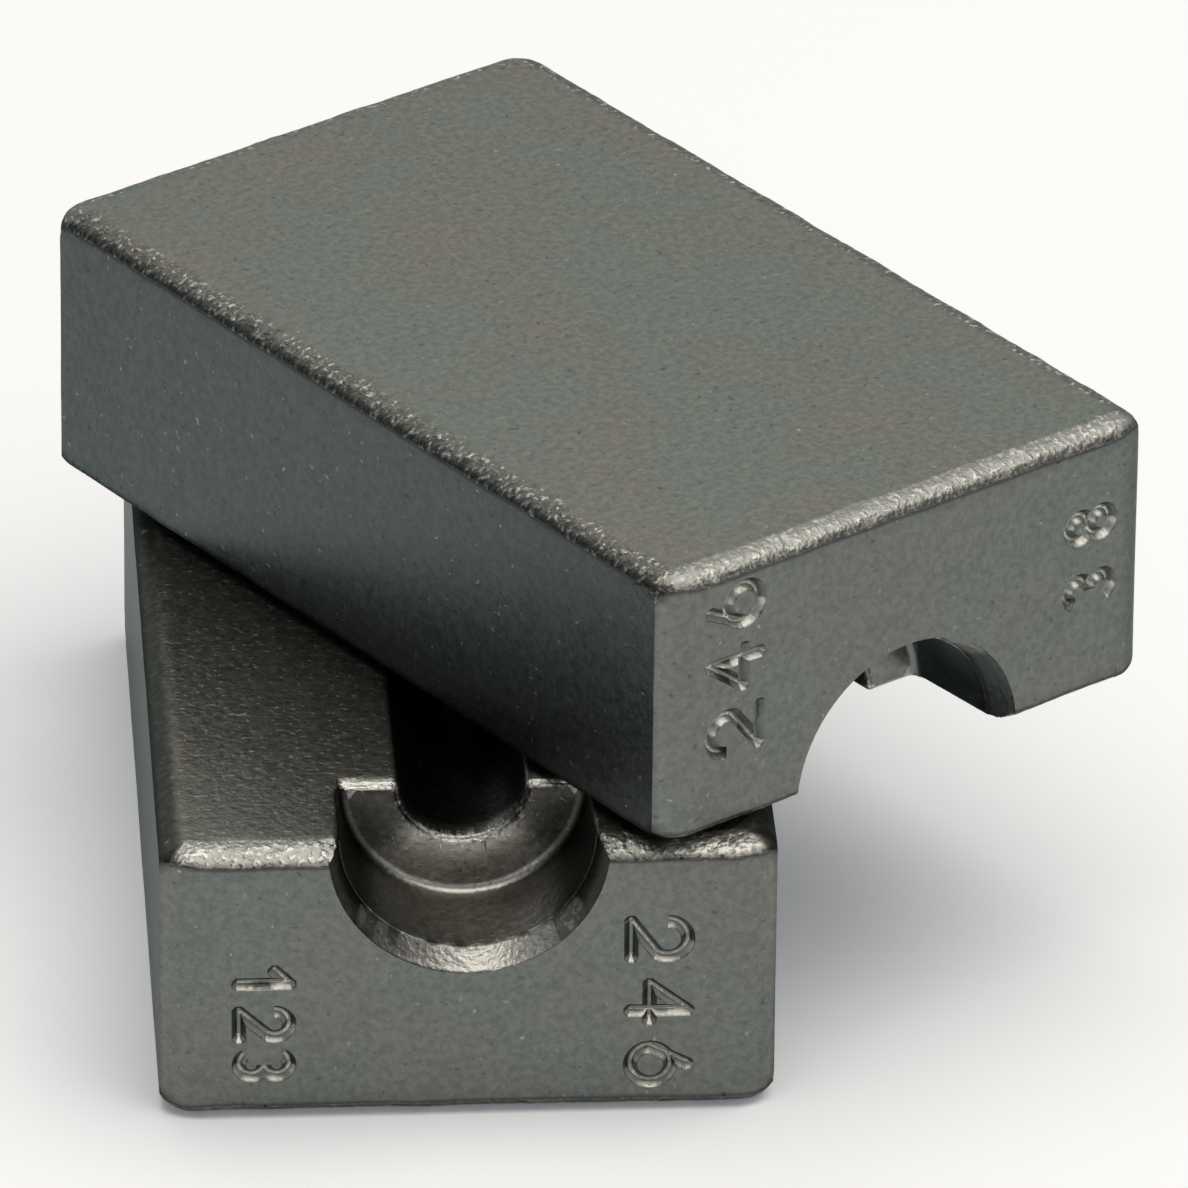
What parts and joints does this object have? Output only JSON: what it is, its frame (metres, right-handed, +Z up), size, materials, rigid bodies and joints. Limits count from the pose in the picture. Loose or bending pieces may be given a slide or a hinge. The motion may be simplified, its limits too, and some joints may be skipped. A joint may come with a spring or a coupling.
{
  "type": "crimping die",
  "caption": "Pair of cast steel die halves with a half-round pipe groove and a stepped flare recess, one lying turned over and swung round on the other.",
  "frame": {"origin": "centre of the lower die half's underside, which is its plain outer face and what the pair rests on", "axes": "+Z up, out of the lower half's mating face; the lower half's pipe groove runs along Y and its flare recess opens towards -Y; X is across the lower half"},
  "size_m": [0.0417, 0.0457, 0.0236],
  "materials": {
    "die_steel": "dark satin cast skin with fine grain, brighter worn edges"
  },
  "bodies": {
    "root": {"lower_die_half": "die_steel", "upper_die_half": "die_steel"}
  },
  "joints": []
}
